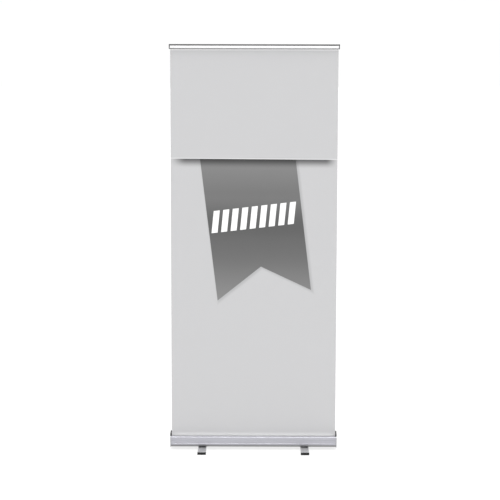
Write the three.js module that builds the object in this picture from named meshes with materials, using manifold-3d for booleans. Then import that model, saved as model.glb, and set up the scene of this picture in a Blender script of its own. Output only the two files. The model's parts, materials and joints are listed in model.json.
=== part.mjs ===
// A roll-up banner stand: a floor cassette with a sprung roller, a printed film that runs up to a clamp
// rail, a telescopic pole that holds the rail up, and two feet that swing out under the cassette.
// Millimetres, +Z up, the front faces -Y. The origin is on the floor under the middle of the stand.
import * as THREE from "three";
import { mergeVertices } from "three/addons/utils/BufferGeometryUtils.js";
import Module from "manifold-3d";

// ---------------------------------------------------------------- driving dimensions
const GAP = 0.3; // clearance between pieces that touch

const FILM = { width: 850, thick: 0.4, y: -12, bottom: 44 };

const CASSETTE = {
  halfLength: 427,
  halfDepth: 46,
  bottom: 14,
  top: 68,
  wall: 2,
  cornerRadius: 7,
  undercut: { run: 10, rise: 12 },
  slot: { front: -18, back: -8 },
  rib: { low: 29.5, high: 33, proud: 1 },
};
const PORT = { radius: 4.2, bore: 2.1, inset: 5.8, lowY: 33, lowInset: 5.6 };
const CAP_SCREW = { length: 18, shank: 1.8, head: 3.9, headThick: 2, hole: 2.2, recess: 4.3, sunk: 0.1 };
const SMALL_SCREW = { reach: 5, shank: 1.7, head: 3.4, headThick: 1.8, hole: 2 };

const END_CAP = { thick: 4.7, proud: 2.2 };
const CAP_INNER = CASSETTE.halfLength + GAP;
const CAP_OUTER = CAP_INNER + END_CAP.thick;
const RAIL_REST = {
  inner: 425.6,
  outer: 431.8,
  centreY: -2,
  halfSpan: 36,
  height: 19,
  saddle: { front: -21, back: -3, depth: 15 },
  tenon: { front: 10, back: 26, depth: 8 },
};

const ROLLER = { y: 11, z: 42, halfLength: 425.3, radius: 17.5, wall: 1.3, wrapRadius: 22 };
const PLUG_DEPTH = 24;
const SPINDLE = { radius: 4, end: 436, innerEnd: 84, flat: 3, flatLength: 8, groove: 3.2 };
const IDLER_PIN = { length: 22, head: 5.5 };
const CLIP = { radius: 7, thick: 1, slack: 0.2 };
const ANCHOR = { radius: 12.5, from: 96, to: 112 };
const SPRING = { radius: 9, wire: 1, turns: 16, from: 114, to: 398 };

const FOOT = { x: 265, reach: 154, width: 42, low: 1.8, thick: 9, cornerRadius: 3 };
const FOOT_CAP = { width: 44, height: 12.3, depth: 7, end: 2.7, cornerRadius: 6 };
const FOOT_BOLT = { shank: 3, head: 6, headThick: 3.5, sunk: 1, recess: 7, end: 19.8 };
const FOOT_WASHER = { radius: 12, low: 11.1, high: 13.7 };
const FOOT_NUT = { radius: 6.2, high: 19.4 };

const POLE_Y = 24;
const TUBE_WALL = 1.2;
const LOWER = { radius: 14, bottom: 73, top: 816 };
const MIDDLE = { radius: 11.5, overlap: 76 };
const UPPER = { radius: 9, overlap: 76 };
const SOCKET = {
  halfWidth: 32,
  halfDepth: 18,
  cornerRadius: 6,
  plate: 3,
  radius: 18.5,
  height: 42,
  screwX: 26,
};
const FOOT_PLUG = { shoe: 0.8, stub: 18 };
const GLIDE_PLUG = { shoe: 12, stub: 14 };
const COLLAR = { half: 18, wall: 5, lug: 11, lugHalf: 6, window: 7.5, relief: 0.25 };
const LEVER = { half: 7.2, hub: 4.5, gap: 0.6, thick: 3.6, sweep: 165, pinOffset: 6, pin: 1.5 };
const STOP_GAP = 2;

const RAIL = {
  z: 2063,
  halfLength: 427,
  height: 24,
  back: 9,
  box: 1.3,
  wall: 1.8,
  filmTop: 16,
  backRadius: 1.2,
};
const GRIP = { halfLength: 422, low: 2, high: 14 };
const RAIL_HINGE = { y: -3.2, z: 19.2, bead: 1.9, neck: 0.9, clip: 2.2, outer: 3.6, cover: 4.8, skirt: 1.2 };
const JAW = { front: -7.8, tongue: 0.8 };
const JAW_LIP = { end: -0.5, high: 3, wall: 0.7, leg: 1.5, corner: 2, back: 1 };
const RAIL_CAP = { outer: 431, proud: 0.5, radius: 3, tenon: 12 };
const HEAD = { flange: 11.5, flangeHigh: 5.7, peg: 8.7, pegTop: 19.3, stub: 20 };
const HOOK = {
  halfWidth: 30,
  plate: 3,
  plateBottom: 2,
  cornerRadius: 4,
  neckHalf: 9,
  neckBottom: 3,
  cup: 13,
  bore: 9,
  crown: 2.3,
  bottom: -1,
  top: 22,
  screwX: 22,
};

// Heights that follow from the ones above.
const HEAD_BOTTOM = RAIL.z + HOOK.bottom - GAP - HEAD.flangeHigh;
const LOWER_COLLAR_TOP = LOWER.top + COLLAR.half;
const TRAVEL = (HEAD_BOTTOM - LOWER_COLLAR_TOP - 2 * COLLAR.half - 2 * STOP_GAP) / 2;
const MIDDLE_TOP = LOWER_COLLAR_TOP + STOP_GAP + TRAVEL + COLLAR.half;
const MIDDLE_BOTTOM = LOWER.top - MIDDLE.overlap;
const UPPER_TOP = HEAD_BOTTOM - GAP;
const UPPER_BOTTOM = MIDDLE_TOP - UPPER.overlap;

// ---------------------------------------------------------------- materials
const finish = (color, roughness, metalness) =>
  new THREE.MeshStandardMaterial({ color, roughness, metalness });
const ALUMINIUM = finish(0xb9bac2, 0.35, 0.9);
const TUBE_ALUMINIUM = finish(0xc4c6ca, 0.3, 0.9);
const BRIGHT_ALUMINIUM = finish(0xe8e8ea, 0.3, 0.9);
const CAP_GREY = finish(0xb0b1b5, 0.5, 0.1);
const DARK_GREY = finish(0x4a4b4f, 0.5, 0.0);
const BLACK_PLASTIC = finish(0x17181a, 0.5, 0.0);
const BLACK_RUBBER = finish(0x1b1b1c, 0.8, 0.0);
const STEEL = finish(0x8f9295, 0.3, 1.0);
const FILM_FACE = finish(0xd3d3d5, 0.6, 0.0);

// ---------------------------------------------------------------- outlines
// Points of an arc about (u, v), angles in degrees, both ends included.
const arc = (u, v, radius, from, to, steps) =>
  Array.from({ length: steps + 1 }, (_, i) => {
    const angle = THREE.MathUtils.degToRad(from + ((to - from) * i) / steps);
    return [u + radius * Math.cos(angle), v + radius * Math.sin(angle)];
  });

const circle = (u, v, radius, sides = 24) => arc(u, v, radius, 0, 360 - 360 / sides, sides - 1);

const rectangle = (u0, v0, u1, v1) => [
  [u0, v0],
  [u1, v0],
  [u1, v1],
  [u0, v1],
];

const roundedRectangle = (u0, v0, u1, v1, radius, steps = 5) => [
  ...arc(u0 + radius, v0 + radius, radius, 180, 270, steps),
  ...arc(u1 - radius, v0 + radius, radius, 270, 360, steps),
  ...arc(u1 - radius, v1 - radius, radius, 0, 90, steps),
  ...arc(u0 + radius, v1 - radius, radius, 90, 180, steps),
];

// ---------------------------------------------------------------- solids
const manifold = await Module();
manifold.setup();

function toSolid(geometry) {
  const bare = geometry.clone();
  bare.deleteAttribute("normal");
  bare.deleteAttribute("uv");
  const merged = mergeVertices(bare, 1e-4);
  return new manifold.Manifold(
    new manifold.Mesh({
      numProp: 3,
      vertProperties: merged.getAttribute("position").array,
      triVerts: new Uint32Array(merged.index.array),
    }),
  );
}

function toGeometry(solid) {
  const mesh = solid.getMesh();
  const geometry = new THREE.BufferGeometry();
  geometry.setAttribute("position", new THREE.BufferAttribute(mesh.vertProperties, 3));
  geometry.setIndex(new THREE.BufferAttribute(mesh.triVerts, 1));
  geometry.computeVertexNormals();
  return geometry;
}

const join = (first, ...others) =>
  toGeometry(others.reduce((solid, other) => solid.add(toSolid(other)), toSolid(first)));

const cut = (body, ...tools) =>
  toGeometry(tools.reduce((solid, tool) => solid.subtract(toSolid(tool)), toSolid(body)));

function extrude(points, length) {
  const shape = new THREE.Shape(points.map(([u, v]) => new THREE.Vector2(u, v)));
  return new THREE.ExtrudeGeometry(shape, { depth: length, bevelEnabled: false, steps: 1 });
}

const axes = (u, v, w) =>
  new THREE.Matrix4().makeBasis(
    new THREE.Vector3(...u),
    new THREE.Vector3(...v),
    new THREE.Vector3(...w),
  );

// A prism along X from an outline in (y, z), along Y from one in (x, z), and along Z from one in (x, y).
const prismX = (points, from, to) =>
  extrude(points, to - from)
    .applyMatrix4(axes([0, 1, 0], [0, 0, 1], [1, 0, 0]))
    .translate(from, 0, 0);

const prismY = (points, from, to) =>
  extrude(points, to - from)
    .applyMatrix4(axes([1, 0, 0], [0, 0, 1], [0, -1, 0]))
    .translate(0, to, 0);

const prismZ = (points, from, to) => extrude(points, to - from).translate(0, 0, from);

const block = (x0, x1, y0, y1, z0, z1) => prismZ(rectangle(x0, y0, x1, y1), z0, z1);

// A body of revolution about Z from a profile of [z, radius] points that goes round its section.
function turned(profile, sides = 24) {
  const points = profile.map(([z, radius]) => new THREE.Vector2(radius, z));
  if (THREE.ShapeUtils.area(points) < 0) points.reverse();
  if (points[0].x > 0 || points.at(-1).x > 0) points.push(points[0].clone());
  return new THREE.LatheGeometry(points, sides).rotateX(Math.PI / 2);
}

// The same, about X and about Y.
const turnedX = (profile, sides) => turned(profile, sides).rotateY(Math.PI / 2);
const turnedY = (profile, sides) => turned(profile, sides).rotateX(-Math.PI / 2);

const rodProfile = (from, to, radius) => [
  [from, 0],
  [from, radius],
  [to, radius],
  [to, 0],
];

const tubeProfile = (from, to, inner, outer) => [
  [from, inner],
  [from, outer],
  [to, outer],
  [to, inner],
];

// A headed pin or screw that lies along its axis: head from `top` down to `under`, shank to `tip`.
const screwProfile = (tip, under, top, shank, head) => [
  [tip, 0],
  [tip, shank],
  [under, shank],
  [under, head],
  [top, head],
  [top, 0],
];

// The small screw that fixes a moulding whose head bears at `under` into a wall whose face is at `face`.
const smallScrew = (face, under) =>
  screwProfile(
    face - SMALL_SCREW.reach,
    under,
    under + SMALL_SCREW.headThick,
    SMALL_SCREW.shank,
    SMALL_SCREW.head,
  );

function piece(name, geometry, material) {
  const mesh = new THREE.Mesh(geometry, material);
  mesh.name = name;
  return mesh;
}

function place(x, y, z, ...pieces) {
  const group = new THREE.Group();
  group.position.set(x, y, z);
  group.add(...pieces);
  return group;
}

// ---------------------------------------------------------------- cassette
// The cassette's outline in (y, z), moved inwards by `inset`, or outwards where it is negative.
function cassetteOutline(inset) {
  const { halfDepth, bottom, top, cornerRadius, undercut } = CASSETTE;
  const side = halfDepth - inset;
  const radius = cornerRadius - inset;
  const slope = Math.hypot(undercut.run, undercut.rise);
  const lift = (inset * (1 - undercut.rise / slope)) / (undercut.run / slope);
  const draw = (inset * (1 - undercut.run / slope)) / (undercut.rise / slope);
  const flat = halfDepth - undercut.run - draw;
  const shoulder = bottom + undercut.rise + lift;
  return [
    [-flat, bottom + inset],
    [flat, bottom + inset],
    [side, shoulder],
    ...arc(side - radius, top - inset - radius, radius, 0, 90, 6),
    ...arc(radius - side, top - inset - radius, radius, 90, 180, 6),
    [-side, shoulder],
  ];
}

const PORT_Y = CASSETTE.halfDepth - PORT.inset;
const PORT_CENTRES = [
  [-PORT_Y, CASSETTE.top - PORT.inset],
  [PORT_Y, CASSETTE.top - PORT.inset],
  [-PORT.lowY, CASSETTE.bottom + PORT.lowInset],
];

function cassetteHousing() {
  const { halfLength, halfDepth, bottom, top, wall, slot, rib } = CASSETTE;
  const ends = [-halfLength, halfLength];
  const beyond = [-halfLength - 1, halfLength + 1];
  const shell = cut(
    prismX(cassetteOutline(0), ...ends),
    prismX(cassetteOutline(wall), ...beyond),
    prismX(rectangle(slot.front, top - 2 * wall, slot.back, top + 1), ...beyond),
  );
  const ribs = prismX(
    rectangle(-halfDepth - rib.proud, rib.low, -halfDepth + wall / 2, rib.high),
    ...ends,
  );
  const ports = PORT_CENTRES.map(([y, z]) => prismX(circle(y, z, PORT.radius, 16), ...ends));
  const bores = PORT_CENTRES.map(([y, z]) => prismX(circle(y, z, PORT.bore, 12), ...beyond));
  const footHoles = [-FOOT.x, FOOT.x].map((x) =>
    prismZ(circle(x, 0, FOOT_BOLT.shank + GAP, 16), bottom - 1, bottom + wall + 1),
  );
  const socketHoles = [-SOCKET.screwX, SOCKET.screwX].map((x) =>
    prismZ(circle(x, POLE_Y, SMALL_SCREW.hole, 12), top - wall - 1, top + 1),
  );
  return cut(join(shell, ribs, ...ports), ...bores, ...footHoles, ...socketHoles);
}

// The hole that holds the spindle's flat, with the flat on top.
function flattedCircle(y, z, radius, flat) {
  const start = THREE.MathUtils.radToDeg(Math.asin(flat / radius));
  return arc(y, z, radius, 180 - start, 360 + start, 24);
}

// Built for the right-hand end; the left-hand cap mirrors it and has a round hole.
function endCap(side) {
  const { tenon } = RAIL_REST;
  const beyond = [CAP_INNER - 1, CAP_OUTER + 1];
  const capTop = CASSETTE.top + END_CAP.proud;
  const hole =
    side > 0
      ? flattedCircle(ROLLER.y, ROLLER.z, SPINDLE.radius + GAP, SPINDLE.flat + GAP)
      : circle(ROLLER.y, ROLLER.z, SPINDLE.radius + GAP);
  const tenonBottom = capTop - tenon.depth - GAP;
  const recessFloor = CAP_OUTER - CAP_SCREW.sunk - CAP_SCREW.headThick - GAP;
  const cap = cut(
    prismX(cassetteOutline(-END_CAP.proud), CAP_INNER, CAP_OUTER),
    prismX(hole, ...beyond),
    prismX(rectangle(tenon.front - GAP, tenonBottom, tenon.back + GAP, capTop + 1), ...beyond),
    ...PORT_CENTRES.map(([y, z]) => prismX(circle(y, z, CAP_SCREW.hole, 16), ...beyond)),
    ...PORT_CENTRES.map(([y, z]) => prismX(circle(y, z, CAP_SCREW.recess, 20), recessFloor, beyond[1])),
  );
  return side > 0 ? cap : mirrored(cap);
}

// The piece seen in a mirror across X = 0, with its faces turned round again.
function mirrored(geometry) {
  const flipped = geometry.clone().scale(-1, 1, 1);
  const index = flipped.index.array;
  for (let i = 0; i < index.length; i += 3) {
    [index[i + 1], index[i + 2]] = [index[i + 2], index[i + 1]];
  }
  return flipped;
}

function railRest(side) {
  const { inner, outer, centreY, halfSpan, height, saddle, tenon } = RAIL_REST;
  const base = CASSETTE.top + END_CAP.proud + GAP;
  const top = base + height;
  const hump = arc(0, 0, 1, 0, 180, 20).map(([u, v]) => [centreY + halfSpan * u, base + height * v]);
  const rest = join(
    cut(
      prismX(hump, inner, outer),
      block(inner - 1, outer + 1, saddle.front, saddle.back, top - saddle.depth, top + 1),
    ),
    block(CAP_INNER, outer, tenon.front, tenon.back, base - tenon.depth, base + 1),
  );
  return side > 0 ? rest : mirrored(rest);
}

function capScrew() {
  const { length, shank, head, headThick, sunk } = CAP_SCREW;
  const top = CAP_OUTER - sunk;
  return turnedX(screwProfile(CAP_OUTER - length, top - headThick, top, shank, head), 12);
}

function cassetteGroup() {
  const group = new THREE.Group();
  group.add(piece("cassette_housing", cassetteHousing(), ALUMINIUM));
  for (const [word, side] of [
    ["left", -1],
    ["right", 1],
  ]) {
    group.add(piece(`end_cap_${word}`, endCap(side), CAP_GREY));
    group.add(piece(`rail_rest_${word}`, railRest(side), BLACK_PLASTIC));
    PORT_CENTRES.forEach(([y, z], i) => {
      const screw = piece(`cap_screw_${word}_${i + 1}`, capScrew(), STEEL);
      screw.rotation.z = side > 0 ? 0 : Math.PI;
      group.add(place(0, y, z, screw));
    });
  }
  return group;
}

// ---------------------------------------------------------------- roller and spring
function spindleRod() {
  const clipFrom = CAP_OUTER + GAP;
  const groove = [clipFrom - CLIP.slack, clipFrom + CLIP.thick + CLIP.slack];
  const wide = SPINDLE.radius + 1;
  const rod = turnedX(
    [
      [SPINDLE.innerEnd, 0],
      [SPINDLE.innerEnd, SPINDLE.radius],
      [groove[0], SPINDLE.radius],
      [groove[0], SPINDLE.groove],
      [groove[1], SPINDLE.groove],
      [groove[1], SPINDLE.radius],
      [SPINDLE.end, SPINDLE.radius],
      [SPINDLE.end, 0],
    ],
    24,
  );
  const flatFrom = CAP_INNER - SPINDLE.flatLength;
  return cut(rod, block(flatFrom, SPINDLE.end + 1, -wide, wide, SPINDLE.flat, wide));
}

class Helix extends THREE.Curve {
  getPoint(t, target = new THREE.Vector3()) {
    const angle = 2 * Math.PI * SPRING.turns * t;
    return target.set(
      THREE.MathUtils.lerp(SPRING.from, SPRING.to, t),
      SPRING.radius * Math.cos(angle),
      SPRING.radius * Math.sin(angle),
    );
  }
}

function torsionSpring() {
  const section = circle(0, 0, SPRING.wire, 5).map(([u, v]) => new THREE.Vector2(u, v));
  return new THREE.ExtrudeGeometry(new THREE.Shape(section), {
    steps: SPRING.turns * 9,
    bevelEnabled: false,
    extrudePath: new Helix(),
  });
}

function rollerGroup() {
  const { halfLength, radius, wall, wrapRadius } = ROLLER;
  const inside = radius - wall;
  const plug = tubeProfile(
    halfLength - PLUG_DEPTH,
    halfLength,
    SPINDLE.radius + GAP,
    inside - GAP,
  );
  const clipFrom = CAP_OUTER + GAP;
  const pinEnd = CAP_INNER - IDLER_PIN.length;
  const pinProfile = screwProfile(pinEnd, clipFrom, SPINDLE.end, SPINDLE.radius, IDLER_PIN.head);
  const leftPlug = piece("roller_plug_left", turnedX(plug), BLACK_PLASTIC);
  const idlerPin = piece("idler_pin", turnedX(pinProfile, 24), STEEL);
  leftPlug.rotation.z = Math.PI;
  idlerPin.rotation.z = Math.PI;
  const film = FILM.width / 2;
  return place(
    0,
    ROLLER.y,
    ROLLER.z,
    piece("roller_tube", turnedX(tubeProfile(-halfLength, halfLength, inside, radius)), ALUMINIUM),
    piece("roller_plug_right", turnedX(plug), BLACK_PLASTIC),
    leftPlug,
    piece("leader_wrap", turnedX(tubeProfile(-film, film, radius + GAP, wrapRadius), 36), FILM_FACE),
    piece("spindle_rod", spindleRod(), STEEL),
    piece(
      "spindle_clip",
      turnedX(tubeProfile(clipFrom, clipFrom + CLIP.thick, SPINDLE.groove + GAP, CLIP.radius), 24),
      STEEL,
    ),
    idlerPin,
    piece(
      "spring_anchor",
      turnedX(tubeProfile(ANCHOR.from, ANCHOR.to, SPINDLE.radius + GAP, ANCHOR.radius)),
      BLACK_PLASTIC,
    ),
    piece("torsion_spring", torsionSpring(), STEEL),
  );
}

// ---------------------------------------------------------------- feet
function footBar() {
  const half = FOOT.width / 2;
  const end = FOOT.reach - FOOT_CAP.end - GAP;
  const top = FOOT.low + FOOT.thick;
  return cut(
    prismZ(roundedRectangle(-half, -end, half, end, FOOT.cornerRadius, 3), FOOT.low, top),
    prismZ(circle(0, 0, FOOT_BOLT.shank + GAP, 20), 0, top + 1),
    prismZ(circle(0, 0, FOOT_BOLT.recess, 24), 0, FOOT.low + FOOT_BOLT.sunk + FOOT_BOLT.headThick + GAP),
  );
}

// The cap over the bar's front end, which points to -Y.
function footCap() {
  const half = FOOT_CAP.width / 2;
  const pocket = FOOT.width / 2 + GAP;
  const back = -FOOT.reach + FOOT_CAP.depth;
  const corner = FOOT_CAP.cornerRadius;
  const outline = [
    ...arc(corner - half, corner - FOOT.reach, corner, 180, 270, 6),
    ...arc(half - corner, corner - FOOT.reach, corner, 270, 360, 6),
    [half, back],
    [-half, back],
  ];
  const bottom = FOOT.low - GAP;
  const top = FOOT.low + FOOT.thick + GAP;
  return cut(
    prismZ(outline, 0, FOOT_CAP.height),
    prismZ(
      roundedRectangle(-pocket, -FOOT.reach + FOOT_CAP.end, pocket, back + 10, FOOT.cornerRadius, 3),
      bottom,
      top,
    ),
  );
}

function footGroup(word, side) {
  const inside = CASSETTE.bottom + CASSETTE.wall + GAP;
  const boltBottom = FOOT.low + FOOT_BOLT.sunk;
  const under = boltBottom + FOOT_BOLT.headThick;
  const rearCap = piece(`foot_cap_${word}_rear`, footCap(), BLACK_RUBBER);
  rearCap.rotation.z = Math.PI;
  const shank = FOOT_BOLT.shank;
  const nut = cut(
    prismZ(circle(0, 0, FOOT_NUT.radius, 6), inside, FOOT_NUT.high),
    prismZ(circle(0, 0, shank + GAP, 16), inside - 1, FOOT_NUT.high + 1),
  );
  const bolt = [
    [boltBottom, 0],
    [boltBottom, FOOT_BOLT.head],
    [under, FOOT_BOLT.head],
    [under, shank],
    [FOOT_BOLT.end, shank],
    [FOOT_BOLT.end, 0],
  ];
  const washer = tubeProfile(FOOT_WASHER.low, FOOT_WASHER.high, shank + GAP, FOOT_WASHER.radius);
  return place(
    side * FOOT.x,
    0,
    0,
    piece(`foot_bar_${word}`, footBar(), ALUMINIUM),
    piece(`foot_cap_${word}_front`, footCap(), BLACK_RUBBER),
    rearCap,
    piece(`foot_bolt_${word}`, turned(bolt, 20), STEEL),
    piece(`foot_washer_${word}`, turned(washer, 28), BLACK_PLASTIC),
    piece(`foot_nut_${word}`, nut, STEEL),
  );
}

// ---------------------------------------------------------------- pole
function poleSocket() {
  const { halfWidth, halfDepth, cornerRadius, plate, radius, height, screwX } = SOCKET;
  return cut(
    join(
      prismZ(roundedRectangle(-halfWidth, -halfDepth, halfWidth, halfDepth, cornerRadius), 0, plate),
      turned(rodProfile(0, height, radius)),
    ),
    prismZ(circle(0, 0, LOWER.radius + GAP), plate, height + 1),
    ...[-screwX, screwX].map((x) => prismZ(circle(x, 0, SMALL_SCREW.hole, 12), -1, plate + 1)),
  );
}

const tubeSection = (radius, bottom, top) =>
  turned(tubeProfile(bottom, top, radius - TUBE_WALL, radius));

// A plug under a tube's lower end: a wide shoe and a stub that goes up into the bore.
const endPlug = (tubeBottom, tubeRadius, shoeRadius, { shoe, stub }) =>
  turned([
    [tubeBottom - GAP - shoe, 0],
    [tubeBottom - GAP - shoe, shoeRadius],
    [tubeBottom - GAP, shoeRadius],
    [tubeBottom - GAP, tubeRadius - TUBE_WALL - GAP],
    [tubeBottom + stub, tubeRadius - TUBE_WALL - GAP],
    [tubeBottom + stub, 0],
  ]);

// A glide plug's shoe slides in the bore of the tube outside it.
const glidePlug = (tubeBottom, tube, outerTube) =>
  endPlug(tubeBottom, tube.radius, outerTube.radius - TUBE_WALL - GAP, GLIDE_PLUG);

// A collar on the top of one tube that grips the next one. Its lugs point to +X, and the window between
// them holds the lever's hub. Z is counted from the outer tube's top.
function clampCollar(outerTube, innerTube) {
  const { half, wall, lug, lugHalf, window, relief } = COLLAR;
  const radius = outerTube + wall;
  const pinX = radius + LEVER.pinOffset;
  const lugEnd = radius + lug;
  const body = join(
    turned([
      [-half, outerTube - 1],
      [-half, radius],
      [half, radius],
      [half, innerTube - 1],
    ]),
    prismZ(
      [
        [outerTube + 1, -lugHalf],
        ...arc(lugEnd - lugHalf, 0, lugHalf, -90, 90, 8),
        [outerTube + 1, lugHalf],
      ],
      -half,
      half,
    ),
  );
  return cut(
    body,
    prismZ(circle(0, 0, outerTube + GAP), -half - 1, GAP),
    prismZ(circle(0, 0, innerTube + GAP), -half - 1, half + 1),
    turned(tubeProfile(-window, window, radius + relief, radius + 3 * lug)),
    prismZ(circle(pinX, 0, LEVER.pin + GAP, 16), -half - 1, half + 1),
  );
}

// The lever lies round the rear of the collar and swings out about the pin.
function clampLever(outerTube) {
  const { half } = LEVER;
  const radius = outerTube + COLLAR.wall;
  const inner = radius + LEVER.gap;
  const outer = inner + LEVER.thick;
  const pinX = radius + LEVER.pinOffset;
  const arm = [...arc(0, 0, inner, LEVER.sweep, 0, 18), ...arc(0, 0, outer, 0, LEVER.sweep, 18)];
  return cut(
    join(prismZ(arm, -half, half), prismZ(circle(pinX, 0, LEVER.hub, 24), -half, half)),
    prismZ(circle(pinX, 0, LEVER.pin + GAP, 16), -half - 1, half + 1),
  );
}

function clampGroup(word, height, outerTube, innerTube) {
  const pin = piece(
    `clamp_pin_${word}`,
    turned(rodProfile(-COLLAR.half + 1, COLLAR.half - 1, LEVER.pin), 12),
    STEEL,
  );
  pin.position.x = outerTube + COLLAR.wall + LEVER.pinOffset;
  return place(
    0,
    0,
    height,
    piece(`clamp_collar_${word}`, clampCollar(outerTube, innerTube), BLACK_PLASTIC),
    piece(`clamp_lever_${word}`, clampLever(outerTube), DARK_GREY),
    pin,
  );
}

function poleHead() {
  const bottom = HEAD_BOTTOM;
  const flangeTop = bottom + HEAD.flangeHigh;
  return turned([
    [bottom - HEAD.stub, 0],
    [bottom - HEAD.stub, UPPER.radius - TUBE_WALL - GAP],
    [bottom, UPPER.radius - TUBE_WALL - GAP],
    [bottom, HEAD.flange],
    [flangeTop, HEAD.flange],
    [flangeTop, HEAD.peg],
    [RAIL.z + HEAD.pegTop, HEAD.peg],
    [RAIL.z + HEAD.pegTop, 0],
  ]);
}

function poleGroup() {
  const socketZ = CASSETTE.top + GAP;
  const screwHead = socketZ + SOCKET.plate + GAP;
  const socketScrews = [-SOCKET.screwX, SOCKET.screwX].map((x, i) => {
    const screw = turned(smallScrew(CASSETTE.top, screwHead), 12);
    return place(x, 0, 0, piece(`socket_screw_${i + 1}`, screw, STEEL));
  });
  return place(
    0,
    POLE_Y,
    0,
    place(0, 0, socketZ, piece("pole_socket", poleSocket(), BLACK_PLASTIC)),
    ...socketScrews,
    piece(
      "pole_foot_plug",
      endPlug(LOWER.bottom, LOWER.radius, LOWER.radius, FOOT_PLUG),
      BLACK_PLASTIC,
    ),
    piece("pole_lower", tubeSection(LOWER.radius, LOWER.bottom, LOWER.top), TUBE_ALUMINIUM),
    clampGroup("lower", LOWER.top, LOWER.radius, MIDDLE.radius),
    piece("pole_middle", tubeSection(MIDDLE.radius, MIDDLE_BOTTOM, MIDDLE_TOP), TUBE_ALUMINIUM),
    piece("glide_plug_middle", glidePlug(MIDDLE_BOTTOM, MIDDLE, LOWER), BLACK_PLASTIC),
    clampGroup("upper", MIDDLE_TOP, MIDDLE.radius, UPPER.radius),
    piece("pole_upper", tubeSection(UPPER.radius, UPPER_BOTTOM, UPPER_TOP), TUBE_ALUMINIUM),
    piece("glide_plug_upper", glidePlug(UPPER_BOTTOM, UPPER, MIDDLE), BLACK_PLASTIC),
    piece("pole_head", poleHead(), BLACK_PLASTIC),
  );
}

// ---------------------------------------------------------------- rail
// The rail's pieces are drawn in (y, z) from the film's plane and the rail's lower edge.
function railBack() {
  const { halfLength, height, back, box, wall, backRadius } = RAIL;
  const ends = [-halfLength, halfLength];
  const bead = RAIL_HINGE;
  const beam = join(
    prismX(roundedRectangle(box, 0, back, height, backRadius, 3), ...ends),
    prismX(rectangle(bead.y, bead.z - bead.neck, box + 1, bead.z + bead.neck), ...ends),
    prismX(circle(bead.y, bead.z, bead.bead, 20), ...ends),
  );
  return cut(
    beam,
    prismX(rectangle(box + wall, wall, back - wall, height - wall), -halfLength - 1, halfLength + 1),
    ...[-HOOK.screwX, HOOK.screwX].map((x) =>
      prismY(circle(x, height / 2, SMALL_SCREW.hole, 12), back - wall - 1, back + 1),
    ),
  );
}

// The jaw hooks over the bead and hangs down in front of the film. Its tongue holds the lip.
function railJaw() {
  const { y, z, clip, outer, skirt } = RAIL_HINGE;
  const { front, tongue } = JAW;
  const inner = front + RAIL.wall;
  const shoulder = z - skirt - GAP;
  const outline = [
    ...arc(y, z, clip, 325, 90, 16),
    ...arc(y, z, outer, 90, 180, 8),
    [y - outer, shoulder],
    [front, shoulder],
    [front, JAW_LIP.high + GAP],
    [inner - tongue, JAW_LIP.high + GAP],
    [inner - tongue, JAW_LIP.leg + GAP],
    [inner, JAW_LIP.leg + GAP],
    [inner, z - outer],
    ...arc(y, z, outer, 225, 325, 8),
  ];
  return prismX(outline, GAP - RAIL.halfLength, RAIL.halfLength - GAP);
}

// A soft lip pushed over the jaw's tongue. It turns in under the rail and presses on the film.
function jawLip() {
  const { end, high, wall, leg, corner, back } = JAW_LIP;
  const { front } = JAW;
  const behind = front + RAIL.wall + GAP;
  const outline = [
    [front, high],
    ...arc(front + corner, corner, corner, 180, 270, 4),
    [end, 0],
    [end, leg],
    [behind + back, leg],
    [behind + back, high],
    [behind, high],
    [behind, leg],
    [front + wall, leg],
    [front + wall, high],
  ];
  return prismX(outline, GAP - RAIL.halfLength, RAIL.halfLength - GAP);
}

// A strip clipped over the jaw's hook, which closes the hinge from the front and the top.
function hingeCover() {
  const { y, z, outer, cover, skirt } = RAIL_HINGE;
  const outline = [
    [y - outer - GAP, z - skirt],
    ...arc(y, z, outer + GAP, 180, 90, 10),
    ...arc(y, z, cover, 90, 180, 10),
    [y - cover, z - skirt],
  ];
  return prismX(outline, GAP - RAIL.halfLength, RAIL.halfLength - GAP);
}

function railCap(side) {
  const { outer, proud, radius, tenon } = RAIL_CAP;
  const { halfLength, height, back, box, wall } = RAIL;
  const front = RAIL_HINGE.y - RAIL_HINGE.cover;
  const cap = join(
    prismX(
      roundedRectangle(front - proud, -proud, back + proud, height + proud, radius),
      halfLength + GAP,
      outer,
    ),
    prismX(
      rectangle(box + wall + GAP, wall + GAP, back - wall - GAP, height - wall - GAP),
      halfLength - tenon,
      halfLength + 1,
    ),
  );
  return side > 0 ? cap : mirrored(cap);
}

function railHook() {
  const { halfWidth, plate, plateBottom, cornerRadius, neckHalf, neckBottom } = HOOK;
  const { cup, bore, crown, bottom, top, screwX } = HOOK;
  const near = RAIL.back + GAP;
  const cupY = POLE_Y - FILM.y;
  const holes = [-screwX, screwX].map((x) =>
    prismY(circle(x, RAIL.height / 2, SMALL_SCREW.hole, 12), near - 1, near + plate + 1),
  );
  const outline = roundedRectangle(-halfWidth, plateBottom, halfWidth, top, cornerRadius);
  return cut(
    join(
      prismY(outline, near, near + plate),
      block(-neckHalf, neckHalf, near + 1, cupY, neckBottom, top),
      prismZ(circle(0, cupY, cup), bottom, top),
    ),
    prismZ(circle(0, cupY, bore), bottom - 1, top - crown),
    ...holes,
  );
}

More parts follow.
